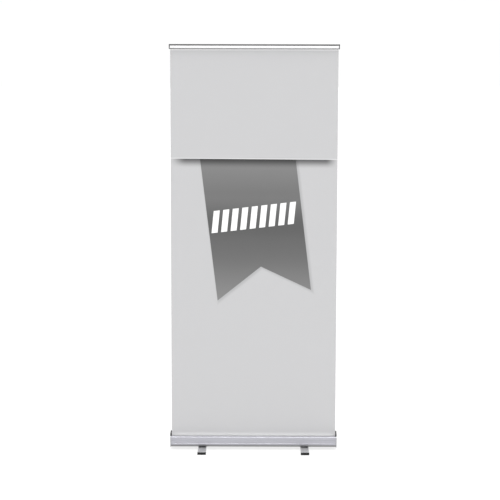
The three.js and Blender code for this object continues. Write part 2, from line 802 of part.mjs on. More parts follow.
function railGroup() {
  const screwHead = RAIL.back + GAP + HOOK.plate + GAP;
  const hookScrews = [-HOOK.screwX, HOOK.screwX].map((x, i) => {
    const screw = turnedY(smallScrew(RAIL.back, screwHead), 12);
    return place(x, 0, RAIL.height / 2, piece(`hook_screw_${i + 1}`, screw, STEEL));
  });
  const strip = [FILM.thick / 2 + GAP, RAIL.box - GAP];
  return place(
    0,
    FILM.y,
    RAIL.z,
    piece("rail_back", railBack(), BRIGHT_ALUMINIUM),
    piece("rail_jaw", railJaw(), BRIGHT_ALUMINIUM),
    piece("jaw_lip", jawLip(), DARK_GREY),
    piece("hinge_cover", hingeCover(), DARK_GREY),
    piece("rail_cap_left", railCap(-1), DARK_GREY),
    piece("rail_cap_right", railCap(1), DARK_GREY),
    piece(
      "grip_strip",
      block(-GRIP.halfLength, GRIP.halfLength, ...strip, GRIP.low, GRIP.high),
      BLACK_RUBBER,
    ),
    piece("rail_hook", railHook(), BLACK_PLASTIC),
    ...hookScrews,
  );
}

// ---------------------------------------------------------------- film
function filmPanel() {
  const half = FILM.width / 2;
  const ends = [FILM.bottom, RAIL.z + RAIL.filmTop];
  const film = block(-half, half, -FILM.thick / 2, FILM.thick / 2, ...ends);
  return place(0, FILM.y, 0, piece("banner_film", film, FILM_FACE));
}

// ---------------------------------------------------------------- the stand
const bannerStand = new THREE.Group();
bannerStand.add(
  cassetteGroup(),
  rollerGroup(),
  footGroup("left", -1),
  footGroup("right", 1),
  poleGroup(),
  railGroup(),
  filmPanel(),
);

export default bannerStand;
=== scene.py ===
"""A roll-up banner stand with its film drawn up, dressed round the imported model.

Shapes are drawn in millimetres and turned into metres as each mesh is made. +Z is up and the print
faces -Y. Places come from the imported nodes' boxes; the finer details are named where they are used.
"""
import json
import math

import bpy
from mathutils import Matrix, Vector
from mathutils.geometry import tessellate_polygon


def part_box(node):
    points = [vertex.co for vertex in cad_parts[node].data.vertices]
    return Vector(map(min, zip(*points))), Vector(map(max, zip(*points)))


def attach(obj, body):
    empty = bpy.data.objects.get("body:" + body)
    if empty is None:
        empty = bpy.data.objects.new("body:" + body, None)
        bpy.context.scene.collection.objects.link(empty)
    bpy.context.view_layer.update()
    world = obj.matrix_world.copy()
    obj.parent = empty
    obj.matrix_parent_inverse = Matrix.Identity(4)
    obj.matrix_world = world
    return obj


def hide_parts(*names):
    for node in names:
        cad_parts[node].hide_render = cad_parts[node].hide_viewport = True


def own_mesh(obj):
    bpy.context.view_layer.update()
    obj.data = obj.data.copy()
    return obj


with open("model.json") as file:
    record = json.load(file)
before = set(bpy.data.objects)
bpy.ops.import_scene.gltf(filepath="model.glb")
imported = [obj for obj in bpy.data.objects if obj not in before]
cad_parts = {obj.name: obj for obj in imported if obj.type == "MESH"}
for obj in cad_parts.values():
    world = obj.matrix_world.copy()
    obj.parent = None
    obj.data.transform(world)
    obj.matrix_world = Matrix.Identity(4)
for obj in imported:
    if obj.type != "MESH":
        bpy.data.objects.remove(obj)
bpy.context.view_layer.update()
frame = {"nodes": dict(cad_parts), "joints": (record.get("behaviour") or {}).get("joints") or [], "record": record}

scene = bpy.context.scene
MM = 0.001
GAP = 0.3  # clearance that touching pieces keep


def box(node):
    """A node's lowest and highest corners in millimetres."""
    low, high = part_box(node)
    return low / MM, high / MM


# ------------------------------------------------------------------ outlines
def arc(u, v, radius, start, end, steps=10):
    """Points of an arc about (u, v), angles in degrees, both ends included."""
    angles = [math.radians(start + (end - start) * i / steps) for i in range(steps + 1)]
    return [Vector((u + radius * math.cos(a), v + radius * math.sin(a))) for a in angles]


def circle(u, v, radius, sides=48):
    return arc(u, v, radius, 0, 360 - 360 / sides, sides - 1)


def filleted(*corners, steps=6):
    """A closed outline from (u, v, radius) corners, each rounded by its radius."""
    outline = []
    for i, (u, v, radius) in enumerate(corners):
        here = Vector((u, v))
        before = Vector(corners[i - 1][:2]) - here
        after = Vector(corners[(i + 1) % len(corners)][:2]) - here
        half = before.angle(after) / 2
        reach = radius / math.tan(half)
        if reach < 1e-3:
            outline.append(here)
            continue
        start, end = here + before.normalized() * reach, here + after.normalized() * reach
        bisector = (before.normalized() + after.normalized()).normalized()
        centre = here + bisector * radius / math.sin(half)
        first, last = start - centre, end - centre
        sweep = first.angle_signed(last)
        for k in range(steps + 1):
            turn = -sweep * k / steps
            cosine, sine = math.cos(turn), math.sin(turn)
            outline.append(
                centre + Vector((first.x * cosine - first.y * sine, first.x * sine + first.y * cosine))
            )
    return outline


def rounded(u0, v0, u1, v1, radius):
    return filleted((u0, v0, radius), (u1, v0, radius), (u1, v1, radius), (u0, v1, radius))


def area(outline):
    pairs = zip(outline, outline[1:] + outline[:1])
    return sum(a.x * b.y - b.x * a.y for a, b in pairs) / 2


def inset(outline, distance):
    """The outline moved to its own left, so a counter-clockwise outline shrinks."""
    moved = []
    for before, here, after in zip(outline[-1:] + outline[:-1], outline, outline[1:] + outline[:1]):
        first, second = (here - before).normalized(), (after - here).normalized()
        normals = Vector((-first.y, first.x)) + Vector((-second.y, second.x))
        moved.append(here + normals * distance / max(0.3, 1 + first.dot(second)))
    return moved


# ------------------------------------------------------------------ meshes
# Where the (u, v, w) of a section and its length go for each axis.
AXIS_TURN = {
    "x": Matrix(((0, 0, 1), (1, 0, 0), (0, 1, 0))),
    "y": Matrix(((1, 0, 0), (0, 0, 1), (0, 1, 0))),
    "z": Matrix.Identity(3),
}


def volume(verts, faces):
    total = 0.0
    for face in faces:
        first = verts[face[0]]
        for a, b in zip(face[1:], face[2:]):
            total += first.dot(verts[a].cross(verts[b]))
    return total


def mesh_object(name, verts, faces):
    """A closed mesh, drawn in millimetres, with its faces turned out."""
    if volume(verts, faces) < 0:
        faces = [tuple(reversed(face)) for face in faces]
    mesh = bpy.data.meshes.new(name)
    mesh.from_pydata([v * MM for v in verts], [], faces)
    mesh.validate()
    obj = bpy.data.objects.new(name, mesh)
    scene.collection.objects.link(obj)
    return obj


def rim(edge, steps=3):
    """(depth along the bar, inset) pairs that round one end of a bar."""
    if not edge:
        return [(0.0, 0.0)]
    quarter = [math.radians(90 * k / steps) for k in range(steps + 1)]
    return [(edge * (1 - math.cos(a)), edge * (1 - math.sin(a))) for a in quarter]


def prism(name, outlines, start, end, axis="x", edges=(0.3, 0.3)):
    """A bar along an axis with rounded ends. The first outline is its outside, the others are holes.

    Outlines are (y, z) along x, (x, z) along y and (x, y) along z.
    """
    loops = [list(outline) for outline in outlines]
    for i, loop in enumerate(loops):
        if (area(loop) > 0) != (i == 0):
            loop.reverse()
    levels = [(start + depth, inward) for depth, inward in rim(edges[0])]
    levels += [(end - depth, inward) for depth, inward in reversed(rim(edges[1]))]
    turn = AXIS_TURN[axis]
    verts, faces = [], []
    for place, inward in levels:
        for loop in loops:
            ring = inset(loop, inward) if inward else loop
            verts += [turn @ Vector((p.x, p.y, place)) for p in ring]
    count = sum(len(loop) for loop in loops)
    for level in range(len(levels) - 1):
        first = level * count
        for loop in loops:
            for i in range(len(loop)):
                a, b = first + i, first + (i + 1) % len(loop)
                faces.append((a, b, b + count, a + count))
            first += len(loop)
    top = (len(levels) - 1) * count
    if len(loops) == 1:
        faces += [tuple(reversed(range(count))), tuple(range(top, top + count))]
        return mesh_object(name, verts, faces)
    flat = [p for loop in loops for p in loop]
    for triangle in tessellate_polygon([[p.to_3d() for p in loop] for loop in loops]):
        if area([flat[k] for k in triangle]) < 0:
            triangle = triangle[::-1]
        faces += [tuple(reversed(triangle)), tuple(top + k for k in triangle)]
    return mesh_object(name, verts, faces)


def turned(name, profile, axis="z", at=(0, 0, 0), sides=64):
    """A body of revolution from (place, radius) points. They start and end on the axis, or close up."""
    turn, offset = AXIS_TURN[axis], Vector(at)
    verts, rings = [], []
    for place, radius in profile:
        around = 1 if radius < 1e-6 else sides
        rings.append([len(verts) + i % around for i in range(sides)])
        for i in range(around):
            a = 2 * math.pi * i / sides
            verts.append(turn @ Vector((radius * math.cos(a), radius * math.sin(a), place)) + offset)
    faces = []
    closed = profile[0][1] > 1e-6
    for low, high in list(zip(rings, rings[1:])) + ([(rings[-1], rings[0])] if closed else []):
        for i in range(sides):
            j = (i + 1) % sides
            face = dict.fromkeys((low[i], low[j], high[j], high[i]))
            if len(face) > 2:
                faces.append(tuple(face))
    return mesh_object(name, verts, faces)


def rod(start, end, radius, low=0.4, high=0.4):
    """Profile of a round bar whose rims are rounded by `low` and `high`."""
    lower = [(start + depth, radius - inward) for depth, inward in rim(low)]
    upper = [(end - depth, radius - inward) for depth, inward in reversed(rim(high))]
    return [(start, 0), *lower, *upper, (end, 0)]


def tube(start, end, inner, outer, edge=0.35):
    """Profile of a tube with broken rims."""
    low, high = rim(edge), list(reversed(rim(edge)))
    return [
        *[(start + depth, outer - inward) for depth, inward in low],
        *[(end - depth, outer - inward) for depth, inward in high],
        *[(end - depth, inner + inward) for depth, inward in rim(edge)],
        *[(start + depth, inner + inward) for depth, inward in high],
    ]


def boolean(obj, others, operation):
    """Cuts or joins meshes and applies the result."""
    for other in others:
        modifier = obj.modifiers.new("boolean", "BOOLEAN")
        modifier.operation = operation
        modifier.solver = "EXACT"
        modifier.object = other
    graph = bpy.context.evaluated_depsgraph_get()
    mesh = bpy.data.meshes.new_from_object(obj.evaluated_get(graph), depsgraph=graph)
    obj.modifiers.clear()
    obj.data = mesh
    for other in others:
        bpy.data.objects.remove(other)
    return obj


def carve(obj, *cutters):
    return boolean(obj, cutters, "DIFFERENCE")


def fuse(obj, *others):
    return boolean(obj, others, "UNION")


def mirrored(obj):
    """The object in a mirror across X = 0, with its faces turned round again."""
    obj.data.transform(Matrix.Scale(-1, 4, (1, 0, 0)))
    obj.data.flip_normals()
    return obj


def hand_over(obj, body, slot, *nodes, sharp=32, finish=None):
    """Shades a piece, gives it its finish and lets it stand for its CAD nodes on their body."""
    for polygon in obj.data.polygons:
        polygon.use_smooth = True
    obj.data.set_sharp_from_angle(angle=math.radians(sharp))
    if not obj.data.materials:
        obj.data.materials.append(finish or FINISH[slot])
    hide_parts(*nodes)
    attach(obj, body)
    return obj


# ------------------------------------------------------------------ materials
class NodeTree:
    """A node tree that is written as expressions."""

    def __init__(self, tree):
        self.nodes = tree.nodes
        self.links = tree.links

    def add(self, kind, inputs=None, **settings):
        node = self.nodes.new(kind)
        for key, value in settings.items():
            setattr(node, key, value)
        for key, value in (inputs or {}).items():
            self.put(node.inputs[key], value)
        return node

    def put(self, socket, value):
        if isinstance(value, bpy.types.NodeSocket):
            self.links.new(value, socket)
        else:
            socket.default_value = value

    def math(self, operation, a, b=0.0):
        return self.add("ShaderNodeMath", {0: a, 1: b}, operation=operation).outputs[0]

    def dot(self, a, b):
        node = self.add("ShaderNodeVectorMath", {0: a, 1: b}, operation="DOT_PRODUCT")
        return node.outputs["Value"]

    def fade(self, value, start, end, low=0.0, high=1.0):
        """From low at start to high at end, smoothly, and held outside."""
        inputs = {"Value": value, "From Min": start, "From Max": end, "To Min": low, "To Max": high}
        node = self.add("ShaderNodeMapRange", inputs, interpolation_type="SMOOTHSTEP")
        return node.outputs["Result"]

    def mix(self, factor, a, b, blend="MIX"):
        node = self.add("ShaderNodeMix", data_type="RGBA", blend_type=blend)
        colours = [socket for socket in node.inputs if socket.type == "RGBA"]
        self.put(node.inputs[0], factor)
        self.put(colours[0], a)
        self.put(colours[1], b)
        return [socket for socket in node.outputs if socket.type == "RGBA"][0]

    def place(self, stretch=(1, 1, 1)):
        """The point on the piece at rest, in metres, stretched for a grain."""
        where = self.add("ShaderNodeTexCoord").outputs["Object"]
        return self.add("ShaderNodeMapping", {"Vector": where, "Scale": stretch}).outputs[0]

    def noise(self, vector, scale, detail=3.0, roughness=0.55):
        inputs = {"Vector": vector, "Scale": scale, "Detail": detail, "Roughness": roughness}
        return self.add("ShaderNodeTexNoise", inputs).outputs["Fac"]

    def bump(self, height, depth):
        """Relief of about `depth` metres."""
        inputs = {"Height": height, "Distance": depth, "Strength": 1.0}
        return self.add("ShaderNodeBump", inputs).outputs["Normal"]


class Shader(NodeTree):
    """A material with one Principled shader."""

    def __init__(self, name, roughness=0.5, metallic=0.0):
        self.material = bpy.data.materials.new(name)
        self.material.use_nodes = True
        super().__init__(self.material.node_tree)
        self.shader = self.nodes["Principled BSDF"]
        self.shader.inputs["Metallic"].default_value = metallic
        self.shader.inputs["Roughness"].default_value = roughness

    def set(self, name, value):
        self.put(self.shader.inputs[name], value)


def grey(tone, tint=(1.0, 1.0, 1.0)):
    return (tone * tint[0], tone * tint[1], tone * tint[2], 1.0)


def drawn_metal(name, tone, stretch, roughness, metallic, tint=(0.98, 0.98, 1.07)):
    """Satin anodised metal whose grain runs along the way it was drawn."""
    s = Shader(name, metallic=metallic)
    grain = s.noise(s.place(stretch), 1.0, detail=4.0)
    cloud = s.noise(s.place(), 6.0, detail=2.0)
    colour = s.mix(s.fade(grain, 0.3, 0.7), grey(tone * 0.95, tint), grey(tone * 1.05, tint))
    s.set("Base Color", s.mix(s.fade(cloud, 0.35, 0.65, 0.0, 0.3), colour, grey(tone * 0.93, tint)))
    s.set("Roughness", s.fade(grain, 0.3, 0.7, roughness - 0.04, roughness + 0.05))
    s.set("Normal", s.bump(grain, 0.00001))
    return s.material


def moulding(name, tone, roughness, texture=0.00003, pitch=1400.0):
    """Moulded plastic: a fine eroded texture with slight flow marks."""
    s = Shader(name)
    place = s.place()
    flow = s.noise(place, 25.0, detail=3.0)
    s.set("Base Color", s.mix(s.fade(flow, 0.3, 0.7), grey(tone * 0.85), grey(tone * 1.2, (1, 1, 1.03))))
    s.set("Roughness", s.fade(flow, 0.3, 0.7, roughness - 0.05, roughness + 0.06))
    s.set("Normal", s.bump(s.noise(place, pitch, detail=2.0), texture))
    s.set("Specular IOR Level", 0.35)
    return s.material


def rubber(name, tone):
    """Black rubber, matt and a little dusty."""
    s = Shader(name)
    place = s.place()
    dust = s.noise(place, 60.0, detail=5.0, roughness=0.7)
    s.set("Base Color", s.mix(s.fade(dust, 0.45, 0.8), grey(tone), grey(tone * 2.2, (1.0, 0.98, 0.95))))
    s.set("Roughness", s.fade(dust, 0.3, 0.7, 0.55, 0.72))
    s.set("Normal", s.bump(s.noise(place, 900.0), 0.00006))
    s.set("Specular IOR Level", 0.3)
    return s.material


def plated_steel(name, tone, roughness, tint=(0.99, 1.0, 1.02)):
    """Zinc plate with the faint blotches of its passivation."""
    s = Shader(name, metallic=1.0)
    place = s.place()
    blotch = s.noise(place, 90.0, detail=4.0)
    warm = grey(tone, (1.03, 1.0, 0.93))
    s.set("Base Color", s.mix(s.fade(blotch, 0.35, 0.65), grey(tone * 0.85, tint), warm))
    s.set("Roughness", s.fade(blotch, 0.3, 0.7, roughness - 0.05, roughness + 0.1))
    s.set("Normal", s.bump(s.noise(place, 1600.0), 0.00001))
    return s.material


def painted_metal(name, tone, roughness):
    """Silver-grey paint with a little orange peel."""
    s = Shader(name, metallic=0.25)
    place = s.place()
    fleck = s.noise(place, 2600.0, detail=1.0)
    cool = (1.0, 1.0, 1.03)
    s.set("Base Color", s.mix(fleck, grey(tone * 0.93, cool), grey(tone * 1.07, cool)))
    s.set("Roughness", s.fade(s.noise(place, 40.0), 0.3, 0.7, roughness - 0.04, roughness + 0.05))
    s.set("Normal", s.bump(s.noise(place, 450.0, detail=1.0), 0.00003))
    return s.material


ALONG_X, ALONG_Y, ALONG_Z = (4, 900, 900), (900, 4, 900), (900, 900, 4)
FINISH = {
    "anodised_aluminium": drawn_metal("anodised_aluminium", 0.395, ALONG_X, 0.3, 0.45),
    "bright_aluminium": drawn_metal("bright_aluminium", 0.72, ALONG_X, 0.3, 0.85, (1.0, 1.0, 1.01)),
    "tube_aluminium": drawn_metal("tube_aluminium", 0.6, ALONG_Z, 0.3, 0.9, (1.0, 1.0, 1.03)),
    "cap_grey": painted_metal("cap_grey", 0.44, 0.45),
    "dark_grey_plastic": moulding("dark_grey_plastic", 0.022, 0.55),
    "black_plastic": moulding("black_plastic", 0.007, 0.5),
    "black_rubber": rubber("black_rubber", 0.008),
    "zinc_steel": plated_steel("zinc_steel", 0.55, 0.28),
    "spring_steel": plated_steel("spring_steel", 0.28, 0.35, (1.0, 0.98, 0.94)),
}
# Painted shade: a darker copy of the anodised finish for the faces that turn down under the cassette.
UNDERSIDE_PAINTED_SHADE = drawn_metal("underside_painted_shade_aluminium", 0.26, ALONG_X, 0.45, 0.5, (1.0, 1.0, 1.02))
FOOT_METAL = drawn_metal("foot_aluminium", 0.47, ALONG_Y, 0.38, 0.6, (1.0, 1.0, 1.02))
ROLLER_METAL = drawn_metal("roller_aluminium", 0.55, ALONG_X, 0.35, 0.9, (1.0, 1.0, 1.03))

# ------------------------------------------------------------------ film
FILM_LOW, FILM_HIGH = box("banner_film")
FILM_Y = (FILM_LOW.y + FILM_HIGH.y) / 2
FILM_HALF = FILM_HIGH.x
FILM_THICK = FILM_HIGH.y - FILM_LOW.y
LIP_Z = box("cassette_housing")[1].z
CLAMP_Z = box("rail_jaw")[0].z
SLIDES = [joint for joint in frame["joints"] if joint["name"] in ("mast_middle_slide", "mast_top_slide")]
DROP = -sum(joint["range_m"][0] for joint in SLIDES) / MM
TUCKED = 2  # how far under the slot's lip the seam ends up when the rail is down
SEAM_Z = LIP_Z - TUCKED + DROP

# The print: a flap whose lower edge crosses the film, and a ribbon that hangs out from under it.
PAPER, WHITE, SHEEN = 0.5, 0.9, 0.026
FLAP_Z, FLAP_SLOPE = 1506.8, -0.0054
FLAP_SHADOW, FLAP_DARKEST, FLAP_LIP = 48, 0.2, 4.5
# The print fades to white at the clamp and at the slot: unprinted margins that are also painted light, lifting the
# film where the rail and the slot's lip shade it.
TOP_PAINTED_LIGHT_BAND, FOOT_PAINTED_LIGHT_BAND = 13, 24  # where the print fades out to the white film
RIBBON_TOP = (-275.0, 212.0)
RIBBON_LEFT_TIP, RIBBON_NOTCH, RIBBON_RIGHT_TIP = (-186.0, 778.0), (36.0, 955.0), (294.0, 834.5)
# How bright the ribbon is beside the paper, at distances below the flap.
RIBBON_SHADES = [
    (0, 0.41),
    (60, 0.4),
    (155, 0.34),
    (217, 0.32),
    (310, 0.235),
    (400, 0.25),
    (560, 0.33),
    (730, 0.45),
]
BARS = {
    "centre": (-1.0, 1209.0),
    "tilt": 6.75,
    "length": 442,
    "height": 112,
    "pitch": 49,
    "bar": 31,
    "lean": 0.22,
}


def film_relief(x, z):
    """How far the film stands back: its free side edges curl a little between clamp and slot."""
    curl = max(0.0, (abs(x) - FILM_HALF + 45) / 45) ** 2
    up = (z - LIP_Z) / (CLAMP_Z - LIP_Z)
    free = max(0.0, math.sin(math.pi * min(1.0, max(0.0, up)))) ** 0.5
    return free * (2.2 * curl + 0.5 * math.sin(5 * math.pi * x / FILM_HALF))


def film_sheet(name, low, high):
    """One length of the film, with its place on the print kept as an attribute in metres."""
    inner = 22
    across = [-FILM_HALF + 45 * i / 6 for i in range(6)]
    across += [(FILM_HALF - 45) * (2 * i / inner - 1) for i in range(inner + 1)]
    across += [FILM_HALF - 45 + 45 * i / 6 for i in range(1, 7)]
    rows = max(2, round((high - low) / 24))
    up = [low + (high - low) * i / rows for i in range(rows + 1)]
    verts = []
    for side in (-1, 1):
        for z in up:
            verts += [Vector((x, FILM_Y + side * FILM_THICK / 2 + film_relief(x, z), z)) for x in across]
    wide, tall = len(across), len(up)
    layer = wide * tall
    faces = []
    for r in range(tall - 1):
        for c in range(wide - 1):
            a = r * wide + c
            front = (a, a + 1, a + wide + 1, a + wide)
            faces += [front, tuple(layer + k for k in reversed(front))]
    border = (
        list(range(wide))
        + [wide * (r + 1) - 1 for r in range(1, tall)]
        + [layer - 2 - c for c in range(wide - 1)]
        + [wide * r for r in range(tall - 2, 0, -1)]
    )
    for a, b in zip(border, border[1:] + border[:1]):
        faces.append((b, a, a + layer, b + layer))
    sheet = mesh_object(name, verts, faces)
    place = sheet.data.attributes.new("print_place", "FLOAT_VECTOR", "POINT")
    for vertex, mark in zip(sheet.data.vertices, place.data):
        mark.vector = (vertex.co.x, 0.0 if vertex.co.y > 0 else vertex.co.y, vertex.co.z)
    sheet.data.materials.append(PRINT)
    sheet.data.materials.append(FILM_BACK)
    for polygon in sheet.data.polygons:
        polygon.material_index = 0 if polygon.normal.y < -0.5 else 1
    return sheet


def beyond(s, place, start, end):
    """Metres from the line through two points, positive to the right of the way from start to end."""
    way = (Vector(end) - Vector(start)).normalized()
    right = Vector((way.y, 0.0, -way.x))
    offset = right.x * start[0] + right.z * start[1]
    return s.math("SUBTRACT", s.dot(place, right), offset * MM)


def ribbon_distance(s, place):
    """Metres outside the ribbon's outline, negative inside it."""
    top_left, top_right = (RIBBON_TOP[0], FLAP_Z), (RIBBON_TOP[1], FLAP_Z)
    sides = s.math(
        "MAXIMUM",
        beyond(s, place, top_left, RIBBON_LEFT_TIP),
        beyond(s, place, RIBBON_RIGHT_TIP, top_right),
    )
    tails = s.math(
        "MINIMUM",
        beyond(s, place, RIBBON_LEFT_TIP, RIBBON_NOTCH),
        beyond(s, place, RIBBON_NOTCH, RIBBON_RIGHT_TIP),
    )
    return s.math("MAXIMUM", sides, tails)


def ramp(s, value, stops):
    """A grey ramp through stops of (place, tone)."""
    node = s.add("ShaderNodeValToRGB", {"Fac": value})
    elements = node.color_ramp.elements
    node.color_ramp.interpolation = "CARDINAL"
    while len(elements) < len(stops):
        elements.new(0.5)
    for element, (position, tone) in zip(elements, stops):
        element.position = position
        element.color = grey(tone)
    return node.outputs["Color"]


def printed(brightness):
    """The ink's reflectance that looks `brightness` times as bright as the paper under the coat."""
    return PAPER * brightness - SHEEN * (1 - brightness)


def print_material():
    s = Shader("banner_print")
    place = s.add("ShaderNodeAttribute", attribute_name="print_place").outputs["Vector"]
    parts = s.add("ShaderNodeSeparateXYZ", {0: place}).outputs
    flap = s.math("ADD", s.math("MULTIPLY", parts["X"], FLAP_SLOPE), FLAP_Z * MM)
    below = s.math("SUBTRACT", flap, parts["Z"])
    under = s.math("GREATER_THAN", below, 0.0)
    paper = grey(PAPER, (1.0, 1.0, 1.015))

    # The ribbon's own soft shadow, a little to its right and below it.
    moved = s.add("ShaderNodeVectorMath", {0: place, 1: (-0.006, 0.0, 0.005)}, operation="ADD")
    cast = s.fade(ribbon_distance(s, moved.outputs["Vector"]), 0.014, -0.004, 0.0, 0.3)
    colour = s.mix(s.math("MULTIPLY", cast, under), paper, grey(printed(0.4)))

    longest = RIBBON_SHADES[-1][0]
    stops = [(distance / longest, printed(tone)) for distance, tone in RIBBON_SHADES]
    shades = ramp(s, s.math("DIVIDE", below, longest * MM), stops)
    inside = s.fade(ribbon_distance(s, place), 0.0006, -0.0006)
    colour = s.mix(s.math("MULTIPLY", inside, under), colour, shades)
    colour = s.mix(bars_mask(s, place), colour, grey(WHITE))

    # The flap's shadow runs out towards both ends, and its edge catches the light.
    left = s.fade(parts["X"], -(FILM_HALF + 10) * MM, -(FILM_HALF - 80) * MM)
    right = s.fade(parts["X"], (FILM_HALF + 5) * MM, (FILM_HALF - 62) * MM)
    strength = s.math("MULTIPLY", s.math("MULTIPLY", left, right), under)
    depth = s.fade(below, 0.0, FLAP_SHADOW * MM, 1 - FLAP_DARKEST, 0.0)
    colour = s.mix(s.math("MULTIPLY", strength, depth), colour, grey(0.004))
    near_edge = s.fade(below, -FLAP_LIP * MM, -(FLAP_LIP - 0.5) * MM)
    lip = s.math("MULTIPLY", near_edge, s.math("LESS_THAN", below, 0.0))
    colour = s.mix(s.math("MULTIPLY", lip, 0.32), colour, grey(WHITE))
    # Painted light: the film turns white towards the clamp and the slot, where the rail and the lip shade it.
    top = s.fade(parts["Z"], (CLAMP_Z - TOP_PAINTED_LIGHT_BAND) * MM, CLAMP_Z * MM)
    foot = s.fade(parts["Z"], (LIP_Z + FOOT_PAINTED_LIGHT_BAND) * MM, LIP_Z * MM)
    colour = s.mix(s.math("MAXIMUM", top, s.math("MULTIPLY", foot, 0.7)), colour, grey(WHITE))
    s.set("Base Color", colour)
    s.set("Specular IOR Level", 0.3)
    weave(s)
    return s.material


def bars_mask(s, place):
    """1 on a row of plain leaning bars that crosses the ribbon, else 0."""
    tilt = math.radians(BARS["tilt"])
    along = Vector((math.cos(tilt), 0, math.sin(tilt)))
    up = Vector((-math.sin(tilt), 0, math.cos(tilt)))
    centre = Vector((BARS["centre"][0], 0, BARS["centre"][1])) * MM
    u = s.math("SUBTRACT", s.dot(place, along), along.dot(centre))
    v = s.math("SUBTRACT", s.dot(place, up), up.dot(centre))
    leaning = s.math("SUBTRACT", u, s.math("MULTIPLY", v, BARS["lean"]))
    pitch = BARS["pitch"] * MM
    many = 50  # whole pitches that keep the place along the row positive
    phase = s.math("PINGPONG", s.math("ADD", leaning, pitch * many), pitch / 2)
    soft = 0.0006

    def within(value, span):
        return s.fade(value, span * MM / 2 + soft, span * MM / 2 - soft)

    in_bar = within(phase, BARS["bar"])
    in_row = within(s.math("ABSOLUTE", leaning), BARS["length"])
    in_height = within(s.math("ABSOLUTE", v), BARS["height"])
    return s.math("MULTIPLY", in_bar, s.math("MULTIPLY", in_row, in_height))


def weave(s):
    """The matt coat and the fine canvas weave of printed film."""
    place = s.place()
    threads = [
        s.add("ShaderNodeTexWave", {"Vector": place, "Scale": 180.0, "Distortion": 0.4}, bands_direction=way)
        for way in ("X", "Z")
    ]
    height = s.math("ADD", threads[0].outputs["Fac"], threads[1].outputs["Fac"])
    s.set("Normal", s.bump(height, 0.000006))
    s.set("Roughness", s.fade(s.noise(place, 8.0), 0.3, 0.7, 0.5, 0.58))


def film_back_material():
    s = Shader("film_back")
    cloud = s.noise(s.place(), 5.0, detail=4.0)
    cream = (1, 1, 0.99)
    s.set("Base Color", s.mix(s.fade(cloud, 0.3, 0.7), grey(0.6, cream), grey(0.64, cream)))
    weave(s)
    return s.material


PRINT, FILM_BACK = print_material(), film_back_material()


def film():
    """The film in two lengths that meet at a seam inside one flat run of print.

    The upper one comes down with the rail; the lower one stays with the base, on a mesh of its own.
    """
    lower = film_sheet("film_lower", FILM_LOW.z, SEAM_Z)
    upper = film_sheet("film_upper", SEAM_Z, FILM_HIGH.z)
    hand_over(upper, "mast_top", "banner_print", "banner_film")
    hand_over(lower, "base", "banner_print", "banner_film")
    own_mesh(lower)


# ------------------------------------------------------------------ cassette
WALL = 2.0
HALF_DEPTH = box("cassette_housing")[1].y
HOUSING_END = box("cassette_housing")[1].x
BOTTOM_Z = box("cassette_housing")[0].z
TOP_CORNER = 7
UNDERCUT_RUN, UNDERCUT_RISE = 10, 12
SLOT_FRONT, SLOT_BACK = -18, -8
RIB_LOW, RIB_HIGH = 29.5, 33.0
CAP_INNER, CAP_OUTER = box("end_cap_right")[0].x, box("end_cap_right")[1].x
PORTS = [box(f"cap_screw_right_{i}") for i in (1, 2, 3)]
PORT_CENTRES = [((low.y + high.y) / 2, (low.z + high.z) / 2) for low, high in PORTS]
CAP_SCREW_SUNK = 2.3
CAP_INSET = HALF_DEPTH - box("end_cap_right")[1].y
TONGUE_FRONT, TONGUE_BACK = 10.0, 26.0
SPINDLE_LOW, SPINDLE_HIGH = box("spindle_rod")
ROLLER_LOW, ROLLER_HIGH = box("roller_tube")
ROLLER_Y, ROLLER_Z = (ROLLER_LOW.y + ROLLER_HIGH.y) / 2, (ROLLER_LOW.z + ROLLER_HIGH.z) / 2
SPINDLE_RADIUS = ROLLER_Z - SPINDLE_LOW.z


def section(inward):
    """(side, bottom, top, shoulder height, flat half width) of the cassette's outline moved inwards."""
    slope = math.hypot(UNDERCUT_RUN, UNDERCUT_RISE)
    lift = inward * (1 - UNDERCUT_RISE / slope) / (UNDERCUT_RUN / slope)
    draw = inward * (1 - UNDERCUT_RUN / slope) / (UNDERCUT_RISE / slope)
    shoulder = BOTTOM_Z + UNDERCUT_RISE + lift
    return HALF_DEPTH - inward, BOTTOM_Z + inward, LIP_Z - inward, shoulder, HALF_DEPTH - UNDERCUT_RUN - draw


def cassette_extrusion():
    """One long section: outside from the slot's front lip round to its rear lip, then back inside."""
    side, bottom, top, shoulder, flat = section(0)
    inner_side, inner_bottom, inner_top, inner_shoulder, inner_flat = section(WALL)
    proud = -box("cassette_housing")[0].y
    lip = WALL / 2 - 0.05
    outline = filleted(
        (SLOT_FRONT, top, lip),
        (-side, top, TOP_CORNER),
        (-side, RIB_HIGH + 0.6, 0.4),
        (-proud, RIB_HIGH - 0.3, 0.5),
        (-proud, RIB_LOW + 0.3, 0.5),
        (-side, RIB_LOW - 0.6, 0.4),
        (-side, shoulder, 3.0),
        (-flat, bottom, 2.5),
        (flat, bottom, 2.5),
        (side, shoulder, 3.0),
        (side, top, TOP_CORNER),
        (SLOT_BACK, top, lip),
        (SLOT_BACK, inner_top, lip),
        (inner_side, inner_top, TOP_CORNER - WALL),
        (inner_side, inner_shoulder, 2.0),
        (inner_flat, inner_bottom, 1.5),
        (-inner_flat, inner_bottom, 1.5),
        (-inner_side, inner_shoulder, 2.0),
        (-inner_side, inner_top, TOP_CORNER - WALL),
        (SLOT_FRONT, inner_top, lip),
    )
    shell = prism("cassette_extrusion", [outline], -HOUSING_END, HOUSING_END)
    ports = [
        turned("port", tube(GAP - HOUSING_END, HOUSING_END - GAP, 2.1, 4.2), "x", (0, y, z), sides=40)
        for y, z in PORT_CENTRES
    ]
    fuse(shell, *ports)
    shell.data.materials.append(FINISH["anodised_aluminium"])
    # Faces turned down below the shoulder take the darker copy: painted shade on the undercut and the bottom.
    shell.data.materials.append(UNDERSIDE_PAINTED_SHADE)
    for polygon in shell.data.polygons:
        polygon.material_index = int(polygon.normal.z < -0.5 and polygon.center.z < shoulder * MM)
    hand_over(shell, "base", "anodised_aluminium", "cassette_housing")


